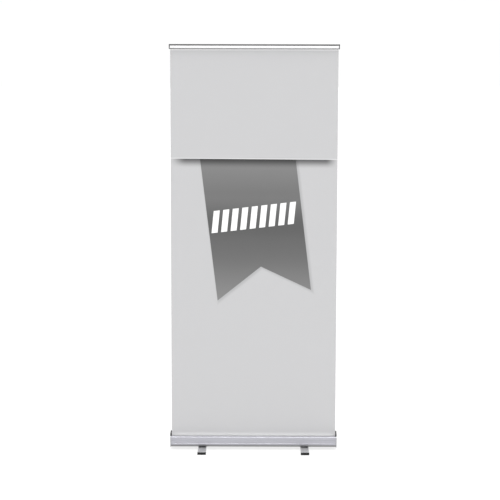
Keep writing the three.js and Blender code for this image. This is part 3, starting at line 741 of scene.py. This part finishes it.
def cap_plate(side):
    """An end plate, with a notch for the rest's tongue, a spindle hole and sunk screw holes."""
    reach, bottom, top, shoulder, flat = section(CAP_INSET)
    outline = filleted(
        (-reach, top, TOP_CORNER + 2),
        (-reach, shoulder, 4.0),
        (-flat, bottom, 3.0),
        (flat, bottom, 3.0),
        (reach, shoulder, 4.0),
        (reach, top, TOP_CORNER + 2),
    )
    plate = prism("plate", [outline], CAP_INNER, CAP_OUTER, edges=(0.3, 1.0))
    notch_floor = box("rail_rest_right")[0].z - GAP
    notch = rounded(TONGUE_FRONT - GAP, notch_floor, TONGUE_BACK + GAP, top + 4, 0.5)
    through = (CAP_INNER - 1, CAP_OUTER + 1)
    cutters = [
        prism("notch", [notch], *through, edges=(0, 0)),
        turned("spindle_hole", rod(*through, SPINDLE_RADIUS + GAP, 0, 0), "x", (0, ROLLER_Y, ROLLER_Z)),
    ]
    recess_floor = PORTS[0][1].x - CAP_SCREW_SUNK
    for y, z in PORT_CENTRES:
        cutters.append(turned("hole", rod(*through, 2.2, 0, 0), "x", (0, y, z), sides=24))
        recess = rod(recess_floor, through[1], 4.3, 0, 0)
        cutters.append(turned("recess", recess, "x", (0, y, z), sides=40))
    carve(plate, *cutters)
    return plate if side > 0 else mirrored(plate)


def rail_rest(side):
    """A black hump on the end cap with a saddle in its crown for the rail to lie in."""
    low, high = box("rail_rest_right")
    centre, half_span = (low.y + high.y) / 2, (high.y - low.y) / 2
    base = box("end_cap_right")[1].z + GAP
    height = high.z - base
    saddle_front, saddle_back, floor = -21.0, -3.0, base + 4

    def crown(y):
        return base + height * math.sqrt(max(0.0, 1 - ((y - centre) / half_span) ** 2))

    def ellipse(start, end, steps=14):
        return [
            Vector((centre + half_span * math.cos(a), base + height * math.sin(a)))
            for a in (math.radians(start + (end - start) * i / steps) for i in range(steps + 1))
        ]

    def angle_at(y):
        return math.degrees(math.acos((y - centre) / half_span))

    round_off, bowl = 1.6, 5.0
    saddle = filleted(
        (saddle_back + 8, crown(saddle_back + 8), 0),
        (saddle_back, crown(saddle_back), round_off),
        (saddle_back, floor, bowl),
        (saddle_front, floor, bowl),
        (saddle_front, crown(saddle_front), round_off),
        (saddle_front - 5, crown(saddle_front - 5), 0),
    )
    behind = ellipse(0, angle_at(saddle_back + 8))[:-1]
    before = ellipse(angle_at(saddle_front - 5), 180)[1:]
    outline = behind + saddle + before
    hump = prism("hump", [outline], low.x, high.x, edges=(1.2, 1.2))
    block = rounded(TONGUE_FRONT, low.z, TONGUE_BACK, base + 4, 1)
    tongue = prism("tongue", [block], CAP_INNER, high.x - 0.2)
    rest = fuse(hump, tongue)
    return rest if side > 0 else mirrored(rest)


def screw(node, axis, head_thick, side=1):
    """A pan-head screw with a cross recess, in the place of its node. Left-hand ones are mirrored."""
    low, high = box(node)
    if side < 0:
        low, high = Vector((-high.x, low.y, low.z)), Vector((-low.x, high.y, high.z))
    order = {"x": 0, "y": 1, "z": 2}[axis]
    tip, top = low[order], high[order]
    across = (order + 1) % 3
    head = (high[across] - low[across]) / 2
    at = (low + high) / 2
    at[order] = 0
    under = top - head_thick
    shank = head * 0.48
    dome = [(under, head), (under + head_thick * 0.45, head)] + [
        (under + head_thick * (0.45 + 0.55 * math.sin(a)), head * (0.35 + 0.65 * math.cos(a)))
        for a in (math.radians(15 * k) for k in range(1, 7))
    ]
    profile = [(tip, 0), (tip + 1.5, shank * 0.8), (tip + 2, shank), (under, shank), *dome, (top, 0)]
    body = turned(f"screw_{node}", profile, axis, at, sides=40)
    blade, deep = head * 0.16, head_thick * 0.6
    u, v, _ = AXIS_TURN[axis].inverted() @ at
    cutters = []
    for a, b in ((head * 0.55, blade), (blade, head * 0.55)):
        slot = rounded(u - a, v - b, u + a, v + b, blade * 0.3)
        cutters.append(prism("slot", [slot], top - deep, top + 1, axis, (0, 0)))
    carve(body, fuse(*cutters))
    return body if side > 0 else mirrored(body)


def cassette():
    cassette_extrusion()
    for word, side in (("left", -1), ("right", 1)):
        plate = cap_plate(side)
        plate.name = f"cap_plate_{word}"
        hand_over(plate, "base", "cap_grey", f"end_cap_{word}")
        rest = rail_rest(side)
        rest.name = f"saddle_{word}"
        hand_over(rest, "base", "black_plastic", f"rail_rest_{word}")
        for i in (1, 2, 3):
            node = f"cap_screw_{word}_{i}"
            hand_over(screw(node, "x", 2.0, side), "base", "zinc_steel", node)
    axis_at = (0, ROLLER_Y, ROLLER_Z)
    clip_low, clip_high = box("spindle_clip")
    groove = SPINDLE_RADIUS - 0.8
    profile = [
        *rod(SPINDLE_LOW.x, SPINDLE_HIGH.x, SPINDLE_RADIUS, high=0.7)[:-5],
        (clip_low.x - 0.1, SPINDLE_RADIUS),
        (clip_low.x - 0.1, groove),
        (clip_high.x + 0.1, groove),
        (clip_high.x + 0.1, SPINDLE_RADIUS),
        *rod(SPINDLE_LOW.x, SPINDLE_HIGH.x, SPINDLE_RADIUS, high=0.7)[-5:],
    ]
    spindle = turned("spindle", profile, "x", axis_at, sides=48)
    flat = rounded(ROLLER_Y - 6, SPINDLE_HIGH.z - 1, ROLLER_Y + 6, SPINDLE_HIGH.z + 4, 0.1)
    carve(spindle, prism("flat", [flat], CAP_INNER - 8, SPINDLE_HIGH.x + 1, edges=(0, 0)))
    hand_over(spindle, "base", "zinc_steel", "spindle_rod")
    clip_radius = (clip_high.y - clip_low.y) / 2
    clip_outline = arc(ROLLER_Y, ROLLER_Z, clip_radius, -50, 230, 30) + arc(
        ROLLER_Y, ROLLER_Z, groove + GAP, 215, -35, 24)
    clip = prism("spindle_e_clip", [clip_outline], clip_low.x, clip_high.x, edges=(0.2, 0.2))
    hand_over(clip, "base", "zinc_steel", "spindle_clip")
    pin_low, pin_high = box("idler_pin")
    head = (pin_high.y - pin_low.y) / 2
    under = -CAP_OUTER - GAP
    pin = turned("idler_stud", [
        (pin_high.x, 0), (pin_high.x, SPINDLE_RADIUS - 0.5), (pin_high.x - 0.5, SPINDLE_RADIUS),
        (under, SPINDLE_RADIUS), (under, head), (under - 1.6, head), (under - 2.8, head - 0.8),
        (pin_low.x, head - 2.6), (pin_low.x, 0),
    ], "x", axis_at)
    hand_over(pin, "base", "zinc_steel", "idler_pin")


# ------------------------------------------------------------------ feet
def foot_extrusion(word):
    low, high = box(f"foot_bar_{word}")
    middle = (low.x + high.x) / 2
    groove_at, groove_half, groove_deep = 13.0, 0.9, 0.8
    corners = [(low.x, low.z, 1.5), (high.x, low.z, 1.5), (high.x, high.z, 2.4)]
    for x in (middle + groove_at, middle - groove_at):
        corners += [
            (x + groove_half, high.z, 0.15),
            (x + groove_half * 0.6, high.z - groove_deep, 0.15),
            (x - groove_half * 0.6, high.z - groove_deep, 0.15),
            (x - groove_half, high.z, 0.15),
        ]
    corners.append((low.x, high.z, 2.4))
    bar = prism(f"foot_extrusion_{word}", [filleted(*corners, steps=4)], low.y, high.y, "y")
    bolt_low, bolt_high = box(f"foot_bolt_{word}")
    head = (bolt_high.x - bolt_low.x) / 2
    carve(
        bar,
        turned("bolt_hole", rod(-1, high.z + 1, head * 0.55, 0, 0), "z", (middle, 0, 0)),
        turned("bolt_recess", rod(-1, bolt_low.z + 3.8, head + 1, 0, 0), "z", (middle, 0, 0)),
    )
    hand_over(bar, f"foot_{word}", "anodised_aluminium", f"foot_bar_{word}", finish=FOOT_METAL)


def foot_shoe(word, end):
    """A rubber cap pushed over the end of the bar, with a bowed nose and a grip groove."""
    node = f"foot_cap_{word}_{end}"
    low, high = box(node)
    bar_low, bar_high = box(f"foot_bar_{word}")
    way = -1 if end == "front" else 1
    tip, back = (low.y, high.y) if way < 0 else (high.y, low.y)
    middle, bow = (low.x + high.x) / 2, 0.6
    outline = filleted(
        (low.x, back, 0.8),
        (low.x, tip - way * bow, 3.5),
        (middle, tip, 200),
        (high.x, tip - way * bow, 3.5),
        (high.x, back, 0.8),
    )
    shoe = prism(node + "_shoe", [outline], low.z, high.z, "z", (0.6, 0.7))
    bar_end = bar_low.y if way < 0 else bar_high.y
    pocket = rounded(bar_low.x - GAP, bar_low.z - GAP, bar_high.x + GAP, bar_high.z + GAP, 2.0)
    start, end_y = sorted((bar_end + way * GAP, back - way * 5))
    cutters = [prism("pocket", [pocket], start, end_y, "y", (0, 0))]
    at = (0, tip - way * 4.2, high.z + 0.4)
    cutters.append(turned("grip", rod(middle - 15, middle + 15, 0.9), "x", at, sides=20))
    carve(shoe, *cutters)
    hand_over(shoe, f"foot_{word}", "black_rubber", node)


def feet():
    for word in ("left", "right"):
        foot_extrusion(word)
        for end in ("front", "rear"):
            foot_shoe(word, end)


# ------------------------------------------------------------------ pole
POLE_Y = (box("pole_lower")[0].y + box("pole_lower")[1].y) / 2
POLE_AT = (0, POLE_Y, 0)
TUBE_WALL = 1.2


def radius_of(node):
    low, high = box(node)
    return (high.x - low.x) / 2


def pole_tube(node, body):
    low, high = box(node)
    radius = radius_of(node)
    profile = tube(low.z, high.z, radius - TUBE_WALL, radius)
    obj = turned(f"{node}_tube", profile, "z", POLE_AT, sides=72)
    hand_over(obj, body, "tube_aluminium", node)


def pole_socket():
    low, high = box("pole_socket")
    plate, boss, bore = 3.0, 18.5, radius_of("pole_lower") + GAP
    flange = rounded(low.x, low.y, high.x, high.y, 6)
    foot = prism("socket_moulding", [flange], low.z, low.z + plate, "z", (0.2, 0.9))
    boss_profile = [
        (low.z + 0.2, 0), (low.z + 0.2, boss), (low.z + plate, boss), (low.z + plate + 3, boss - 0.4),
        (high.z - 8, boss - 1.2), (high.z - 7, boss - 0.2), (high.z - 1.2, boss - 0.2),
        (high.z - 0.3, boss - 0.6), (high.z, boss - 1.4), (high.z, 0),
    ]
    parts = [turned("boss", boss_profile, "z", POLE_AT)]
    for side in (-1, 1):
        gusset = filleted(
            (side * 14, low.z + 1, 0), (side * 22, low.z + 1, 0), (side * 21.6, low.z + plate + 3, 1.0),
            (side * 17, high.z - 14, 1.0), (side * 14, high.z - 14, 0),
        )
        parts.append(prism("gusset", [gusset], POLE_Y - 1.5, POLE_Y + 1.5, "y", (0.4, 0.4)))
    for i in (1, 2):
        screw_low, screw_high = box(f"socket_screw_{i}")
        at = ((screw_low.x + screw_high.x) / 2, POLE_Y, 0)
        carve(foot, turned("hole", rod(low.z - 1, low.z + plate + 1, 2, 0, 0), "z", at, sides=24))
    fuse(foot, *parts)
    carve(foot, turned("bore", rod(low.z + plate, high.z + 1, bore, 0, 0), "z", POLE_AT))
    hand_over(foot, "base", "black_plastic", "pole_socket")


def clamp(word, outer_node, inner_node, body):
    """A collar with a split pair of lugs, its pin, and a lever that wraps round the rear."""
    outer, inner = radius_of(outer_node), radius_of(inner_node)
    low, high = box(f"clamp_collar_{word}")
    joint_z = (low.z + high.z) / 2
    wall = high.y - POLE_Y - outer
    radius = outer + wall
    lug_end = high.x
    lug_half, window = 6.0, 7.5
    pin_low, pin_high = box(f"clamp_pin_{word}")
    pin_x, pin_radius = (pin_low.x + pin_high.x) / 2, (pin_high.x - pin_low.x) / 2
    groove = 0.5
    barrel = [
        (low.z, outer + GAP), (low.z, radius - 1.4), (low.z + 0.4, radius - 0.5), (low.z + 1.4, radius),
        (low.z + 6, radius), (low.z + 6.4, radius - groove), (low.z + 7.4, radius - groove),
        (low.z + 7.8, radius),
        (high.z - 7.8, radius), (high.z - 7.4, radius - groove), (high.z - 6.4, radius - groove),
        (high.z - 6, radius), (high.z - 1.4, radius), (high.z - 0.4, radius - 0.5), (high.z, radius - 1.4),
        (high.z, inner + GAP + 0.6), (high.z - 0.6, inner + GAP), (joint_z + GAP, inner + GAP),
        (joint_z + GAP, outer + GAP),
    ]
    collar = turned(f"collar_{word}", barrel, "z", POLE_AT, sides=72)
    lugs = []
    lug = filleted(
        (radius - wall + 1, POLE_Y - lug_half, 0), (lug_end, POLE_Y - lug_half, lug_half - 0.1),
        (lug_end, POLE_Y + lug_half, lug_half - 0.1), (radius - wall + 1, POLE_Y + lug_half, 0),
    )
    for start, end in ((low.z, joint_z - window), (joint_z + window, high.z)):
        lugs.append(prism("lug", [lug], start, end, "z", (0.8, 0.8)))
    fuse(collar, *lugs)
    pin_at = (pin_x, POLE_Y, 0)
    bore = rod(low.z - 1, high.z + 1, pin_radius + GAP, 0, 0)
    carve(collar, turned("pin_hole", bore, "z", pin_at, sides=24))
    hand_over(collar, body, "black_plastic", f"clamp_collar_{word}")

    pin_profile = rod(pin_low.z, pin_high.z, pin_radius, 0.5, 0.5)
    pin = turned(f"pin_{word}", pin_profile, "z", pin_at, sides=32)
    hand_over(pin, body, "zinc_steel", f"clamp_pin_{word}")

    lever_low, lever_high = box(f"clamp_lever_{word}")
    near, thick, sweep, flare = radius + 0.6, 3.6, 165, 2.5
    steps = 36
    inside, outside = [], []
    for k in range(steps + 1):
        angle = sweep * k / steps
        lift = flare * max(0.0, (angle - sweep + 40) / 40) ** 2
        inside += arc(0, POLE_Y, near + lift, angle, angle, 1)[:1]
        outside += arc(0, POLE_Y, near + thick + lift * 0.8, angle, angle, 1)[:1]
    tip = (inside[-1] + outside[-1]) / 2
    reach = (outside[-1] - inside[-1]).length / 2
    heading = math.degrees(math.atan2(*(outside[-1] - inside[-1]).yx))
    nose = arc(tip.x, tip.y, reach, heading, heading + 180, 8)
    outline = outside[:-1] + nose + inside[-2::-1]
    arm = prism(f"lever_{word}", [outline], lever_low.z, lever_high.z, "z", (0.9, 0.9))
    hub = prism("hub", [circle(pin_x, POLE_Y, 4.5, 40)], lever_low.z, lever_high.z, "z", (0.6, 0.6))
    fuse(arm, hub)
    bore = rod(lever_low.z - 1, lever_high.z + 1, pin_radius + GAP, 0, 0)
    carve(arm, turned("hub_hole", bore, "z", pin_at, sides=24))
    hand_over(arm, f"lever_{word}", "dark_grey_plastic", f"clamp_lever_{word}")


def pole_top():
    """The plug in the upper tube whose peg carries the rail, and the hook that drops over it."""
    low, high = box("pole_head")
    stub, peg = radius_of("pole_upper") - TUBE_WALL - GAP, 8.7
    flange, tube_top = radius_of("pole_head"), box("pole_upper")[1].z + GAP
    shoulder = tube_top + 5.7
    head = turned("head_plug", [
        (low.z, 0), (low.z, stub - 1), (low.z + 1, stub), (tube_top, stub), (tube_top, flange - 0.8),
        (tube_top + 0.8, flange), (shoulder - 1.2, flange), (shoulder - 0.4, flange - 0.4),
        (shoulder, flange - 1.2), (shoulder, peg), (high.z - 2, peg), (high.z - 0.6, peg - 0.6),
        (high.z, peg - 2), (high.z, 0),
    ], "z", POLE_AT)
    hand_over(head, "mast_top", "black_plastic", "pole_head")

    low, high = box("rail_hook")
    cup, bore, crown = high.y - POLE_Y, 9.0, 2.3
    plate_back = low.y + 3
    flange = rounded(low.x, low.z + 3, high.x, high.z, 4)
    plate = prism("hook_moulding", [flange], low.y, plate_back, "y", (0.2, 0.8))
    neck = 9.0
    bend = math.degrees(math.acos(neck / cup))
    keyhole = [Vector((-neck, low.y + 1.2)), Vector((neck, low.y + 1.2))]
    keyhole += arc(0, POLE_Y, cup, -bend, 180 + bend, 60)
    web = filleted(
        (plate_back - 1, high.z - 1, 0),
        (plate_back - 1, low.z + 5, 0),
        (plate_back + 2, low.z + 5, 0.6),
        (POLE_Y - 8, high.z - 3, 0.8),
        (POLE_Y - 8, high.z - 1, 0.5),
    )
    ribs = [prism("rib", [web], x - 1, x + 1, "x", (0.2, 0.2)) for x in (-11.0, 11.0)]
    fuse(plate, prism("cup", [keyhole], low.z, high.z - 0.2, "z", (0.6, 1.6)), *ribs)
    cutters = [turned("bore", rod(low.z - 1, high.z - crown, bore, 0, 0.5), "z", POLE_AT)]
    for i in (1, 2):
        screw_low, screw_high = box(f"hook_screw_{i}")
        at = ((screw_low.x + screw_high.x) / 2, 0, (screw_low.z + screw_high.z) / 2)
        cutters.append(turned("hole", rod(low.y - 1, plate_back + 1, 2, 0, 0), "y", at, sides=24))
    carve(plate, *cutters)
    hand_over(plate, "mast_top", "black_plastic", "rail_hook")


def pole():
    pole_socket()
    for i in (1, 2):
        hand_over(screw(f"socket_screw_{i}", "z", 1.8), "base", "zinc_steel", f"socket_screw_{i}")
        hand_over(screw(f"hook_screw_{i}", "y", 1.8), "mast_top", "zinc_steel", f"hook_screw_{i}")
    pole_tube("pole_lower", "base")
    pole_tube("pole_middle", "mast_middle")
    pole_tube("pole_upper", "mast_top")
    clamp("lower", "pole_lower", "pole_middle", "base")
    clamp("upper", "pole_middle", "pole_upper", "mast_middle")
    pole_top()


# ------------------------------------------------------------------ rail
def rail():
    back_low, back_high = box("rail_back")
    jaw_low, jaw_high = box("rail_jaw")
    cover_low, cover_high = box("hinge_cover")
    cover = cover_high.y - cover_low.y
    hinge_y, hinge_z = cover_high.y, cover_high.z - cover
    bead, neck, clip, hook = 1.9, 0.9, 2.2, 3.6
    skirt_z = cover_low.z - 0.8  # the strip's lower edge
    face_y = FILM_Y + 1.3
    wall = 1.8

    gap_angle = math.degrees(math.asin(neck / bead))
    outline = (
        filleted(
            (face_y, back_low.z, 1.0),
            (back_high.y, back_low.z, 1.2),
            (back_high.y, back_low.z + 7, 0.3),
            (back_high.y - 0.6, back_low.z + 7.5, 0.2),
            (back_high.y - 0.6, back_high.z - 7.5, 0.2),
            (back_high.y, back_high.z - 7, 0.3),
            (back_high.y, back_high.z, 1.2),
            (face_y, back_high.z, 1.0),
        )
        + [Vector((face_y, hinge_z + neck))]
        + arc(hinge_y, hinge_z, bead, gap_angle, 360 - gap_angle, 24)
        + [Vector((face_y, hinge_z - neck))]
    )
    hollow = rounded(face_y + wall, back_low.z + wall, back_high.y - wall - 0.6, back_high.z - wall, 0.5)
    beam = prism("rail_beam", [outline, hollow], back_low.x, back_high.x)
    hand_over(beam, "mast_top", "bright_aluminium", "rail_back")

    lip_low, lip_high = box("jaw_lip")
    front, tongue = jaw_low.y, 0.8
    behind = front + wall
    leg = 1.5  # thickness of the lip where it turns in under the rail
    outline = (
        arc(hinge_y, hinge_z, clip, 325, 90, 24)
        + arc(hinge_y, hinge_z, hook, 90, 180, 12)
        + filleted(
            (hinge_y - hook, skirt_z - GAP, 0.2),
            (front, skirt_z - GAP, 0.25),
            (front, lip_high.z + GAP, 0.25),
            (behind - tongue, lip_high.z + GAP, 0.2),
            (behind - tongue, lip_low.z + leg + GAP, 0.2),
            (behind, lip_low.z + leg + GAP, 0.2),
            (behind, hinge_z - hook, 0.6),
        )
        + arc(hinge_y, hinge_z, hook, 225, 325, 12)
    )
    clamp_face = prism("rail_clamp", [outline], jaw_low.x, jaw_high.x)
    hand_over(clamp_face, "rail_front", "bright_aluminium", "rail_jaw")

    # The lip along the rail's lower edge grips the film. Its dark grey is painted shade for the dark line where
    # the face turns under.
    lip_wall, lip_back = 0.7, 1.0
    outline = filleted(
        (front, lip_high.z, 0.3),
        (front, lip_low.z, 2.0),
        (lip_high.y, lip_low.z, 0.5),
        (lip_high.y, lip_low.z + leg, 0.5),
        (behind + GAP + lip_back, lip_low.z + leg, 0.3),
        (behind + GAP + lip_back, lip_high.z, 0.4),
        (behind + GAP, lip_high.z, 0.2),
        (behind + GAP, lip_low.z + leg, 0.2),
        (front + lip_wall, lip_low.z + leg, 0.2),
        (front + lip_wall, lip_high.z, 0.3),
    )
    lip = prism("clamp_lip_painted_shade", [outline], lip_low.x, lip_high.x, edges=(0.15, 0.15))
    hand_over(lip, "rail_front", "dark_grey_plastic", "jaw_lip")

    # The strip along the rail's top edge covers the hinge. Its dark grey is painted shade for the dark line along
    # that edge.
    outline = (
        [Vector((hinge_y - hook - GAP, skirt_z))]
        + arc(hinge_y, hinge_z, hook + GAP, 180, 90, 14)
        + arc(hinge_y, hinge_z, cover, 90, 180, 20)
        + [Vector((hinge_y - cover, skirt_z))]
    )
    strip = prism("hinge_strip_painted_shade", [outline], cover_low.x, cover_high.x, edges=(0.2, 0.2))
    hand_over(strip, "rail_front", "dark_grey_plastic", "hinge_cover")

    for word, side in (("left", -1), ("right", 1)):
        low, high = box("rail_cap_right")
        shell_x = back_high.x + GAP
        slack = wall + GAP
        plug = rounded(
            face_y + slack, back_low.z + slack, back_high.y - slack - 0.6, back_high.z - slack, 0.5
        )
        shell = rounded(low.y, low.z, high.y, high.z, 3)
        cap = fuse(
            prism(f"rail_end_{word}", [shell], shell_x, high.x, edges=(0.3, 1.4)),
            prism("plug", [plug], low.x, shell_x + 0.6),
        )
        cap = cap if side > 0 else mirrored(cap)
        hand_over(cap, "mast_top", "dark_grey_plastic", f"rail_cap_{word}")


# ------------------------------------------------------------------ nodes that stay as they are
def dress_kept_nodes():
    """Gives every CAD node that still shows the material of its slot."""
    slots = {part["node"]: part["material_slot"] for part in frame["record"]["subparts"]}
    special = {"roller_tube": ROLLER_METAL, "leader_wrap": FILM_BACK}
    for name, node in frame["nodes"].items():
        if node.hide_render:
            continue
        finish = special.get(name) or FINISH[slots[name]]
        node.data.materials.clear()
        node.data.materials.append(finish)


# ------------------------------------------------------------------ studio
def studio():
    """A white floor under a white surround that is brightest overhead and in front."""
    size = 60.0
    mesh = bpy.data.meshes.new("floor")
    corners = [(-size, -size, 0), (size, -size, 0), (size, size, 0), (-size, size, 0)]
    mesh.from_pydata(corners, [], [(0, 1, 2, 3)])
    floor = bpy.data.objects.new("floor", mesh)
    scene.collection.objects.link(floor)
    s = Shader("floor", roughness=0.9)
    glow = 0.74  # with the floor's own grey, this comes out white
    s.set("Base Color", s.mix(s.noise(s.place(), 0.7), grey(0.19), grey(0.21)))
    s.set("Emission Color", grey(1.0))
    s.set("Emission Strength", glow)
    mesh.materials.append(s.material)

    world = bpy.data.worlds.new("studio")
    scene.world = world
    world.use_nodes = True
    s = NodeTree(world.node_tree)
    way = s.add("ShaderNodeTexCoord").outputs["Generated"]
    parts = s.add("ShaderNodeSeparateXYZ", {0: way}).outputs
    surround, ceiling, softbox = 1.01, 6.5, 0.8
    overhead = s.fade(parts["Z"], 0.86, 0.97, 0.0, ceiling)
    level = s.fade(s.math("ABSOLUTE", parts["Z"]), 0.5, 0.15)
    front = s.math("MULTIPLY", s.fade(parts["Y"], -0.7, -0.97, 0.0, softbox), level)
    strength = s.math("ADD", s.math("ADD", overhead, front), surround)
    s.put(s.nodes["Background"].inputs["Color"], grey(1.0))
    s.put(s.nodes["Background"].inputs["Strength"], strength)


def camera():
    lens, height, distance, across = 116.35, 2.1267, 8.2213, 0.0302
    down, turn, roll = 7.534, 0.349, 0.114
    data = bpy.data.cameras.new("camera")
    data.lens, data.sensor_width = lens, 36.0
    data.clip_end = 200
    obj = bpy.data.objects.new("camera", data)
    obj.matrix_world = (
        Matrix.Translation((across, -distance, height))
        @ Matrix.Rotation(math.radians(turn), 4, "Z")
        @ Matrix.Rotation(math.radians(90 - down), 4, "X")
        @ Matrix.Rotation(math.radians(roll), 4, "Z")
    )
    scene.collection.objects.link(obj)
    scene.camera = obj


camera()
studio()
film()
cassette()
feet()
pole()
rail()
dress_kept_nodes()
scene.view_settings.view_transform = "Standard"
bpy.context.view_layer.update()
